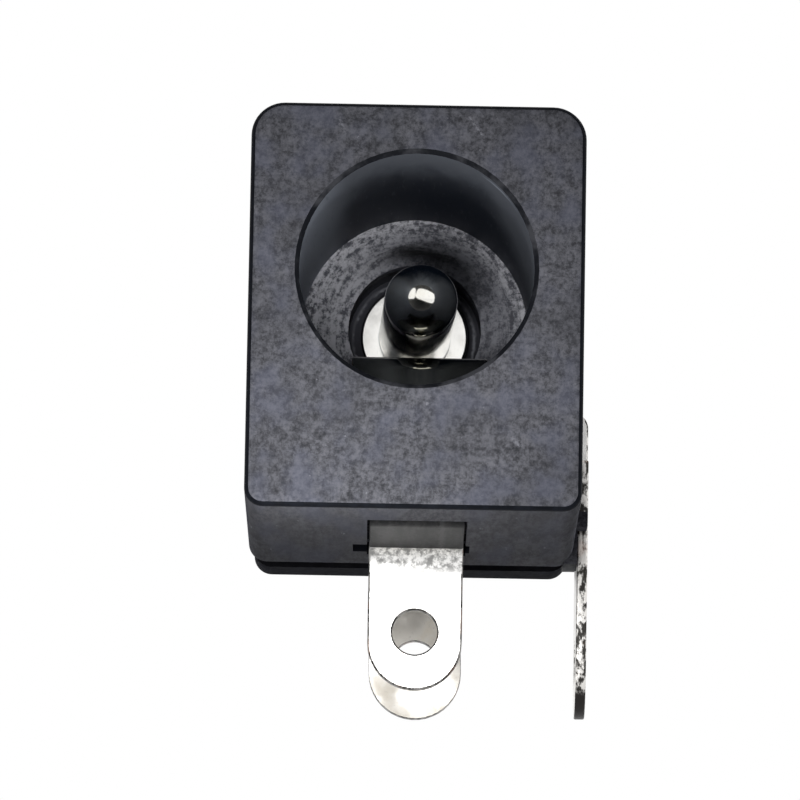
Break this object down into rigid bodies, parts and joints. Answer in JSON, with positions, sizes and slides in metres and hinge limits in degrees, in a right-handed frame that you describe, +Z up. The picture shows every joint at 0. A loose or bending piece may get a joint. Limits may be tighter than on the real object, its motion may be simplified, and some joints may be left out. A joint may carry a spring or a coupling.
{
  "type": "dc barrel jack",
  "caption": "Board or panel power jack for a 5.5 mm barrel plug: moulded housing, rear cap, centre pin, spring sleeve contact, switch contact and solder lugs.",
  "frame": {"origin": "on the circuit board's plane, under the middle of the housing's front edge; the socket's axis is 6.5 mm above it", "axes": "+X to the right seen from the plug side, +Y from the front face into the jack, +Z up away from the board"},
  "size_m": [0.0094, 0.0142, 0.0151],
  "materials": {
    "housing_plastic": "black moulded plastic with a fine mottled grain",
    "cap_plastic": "black moulded plastic",
    "pin_metal": "bright nickel plating on turned brass",
    "terminal_metal": "bright tin plating on punched sheet",
    "contact_metal": "bright plating on folded spring sheet"
  },
  "bodies": {
    "root": {"housing": "housing_plastic", "rear_cap": "cap_plastic", "center_pin": "pin_metal", "center_terminal": "terminal_metal", "sleeve_contact": "contact_metal", "switch_contact": "terminal_metal"}
  },
  "joints": []
}
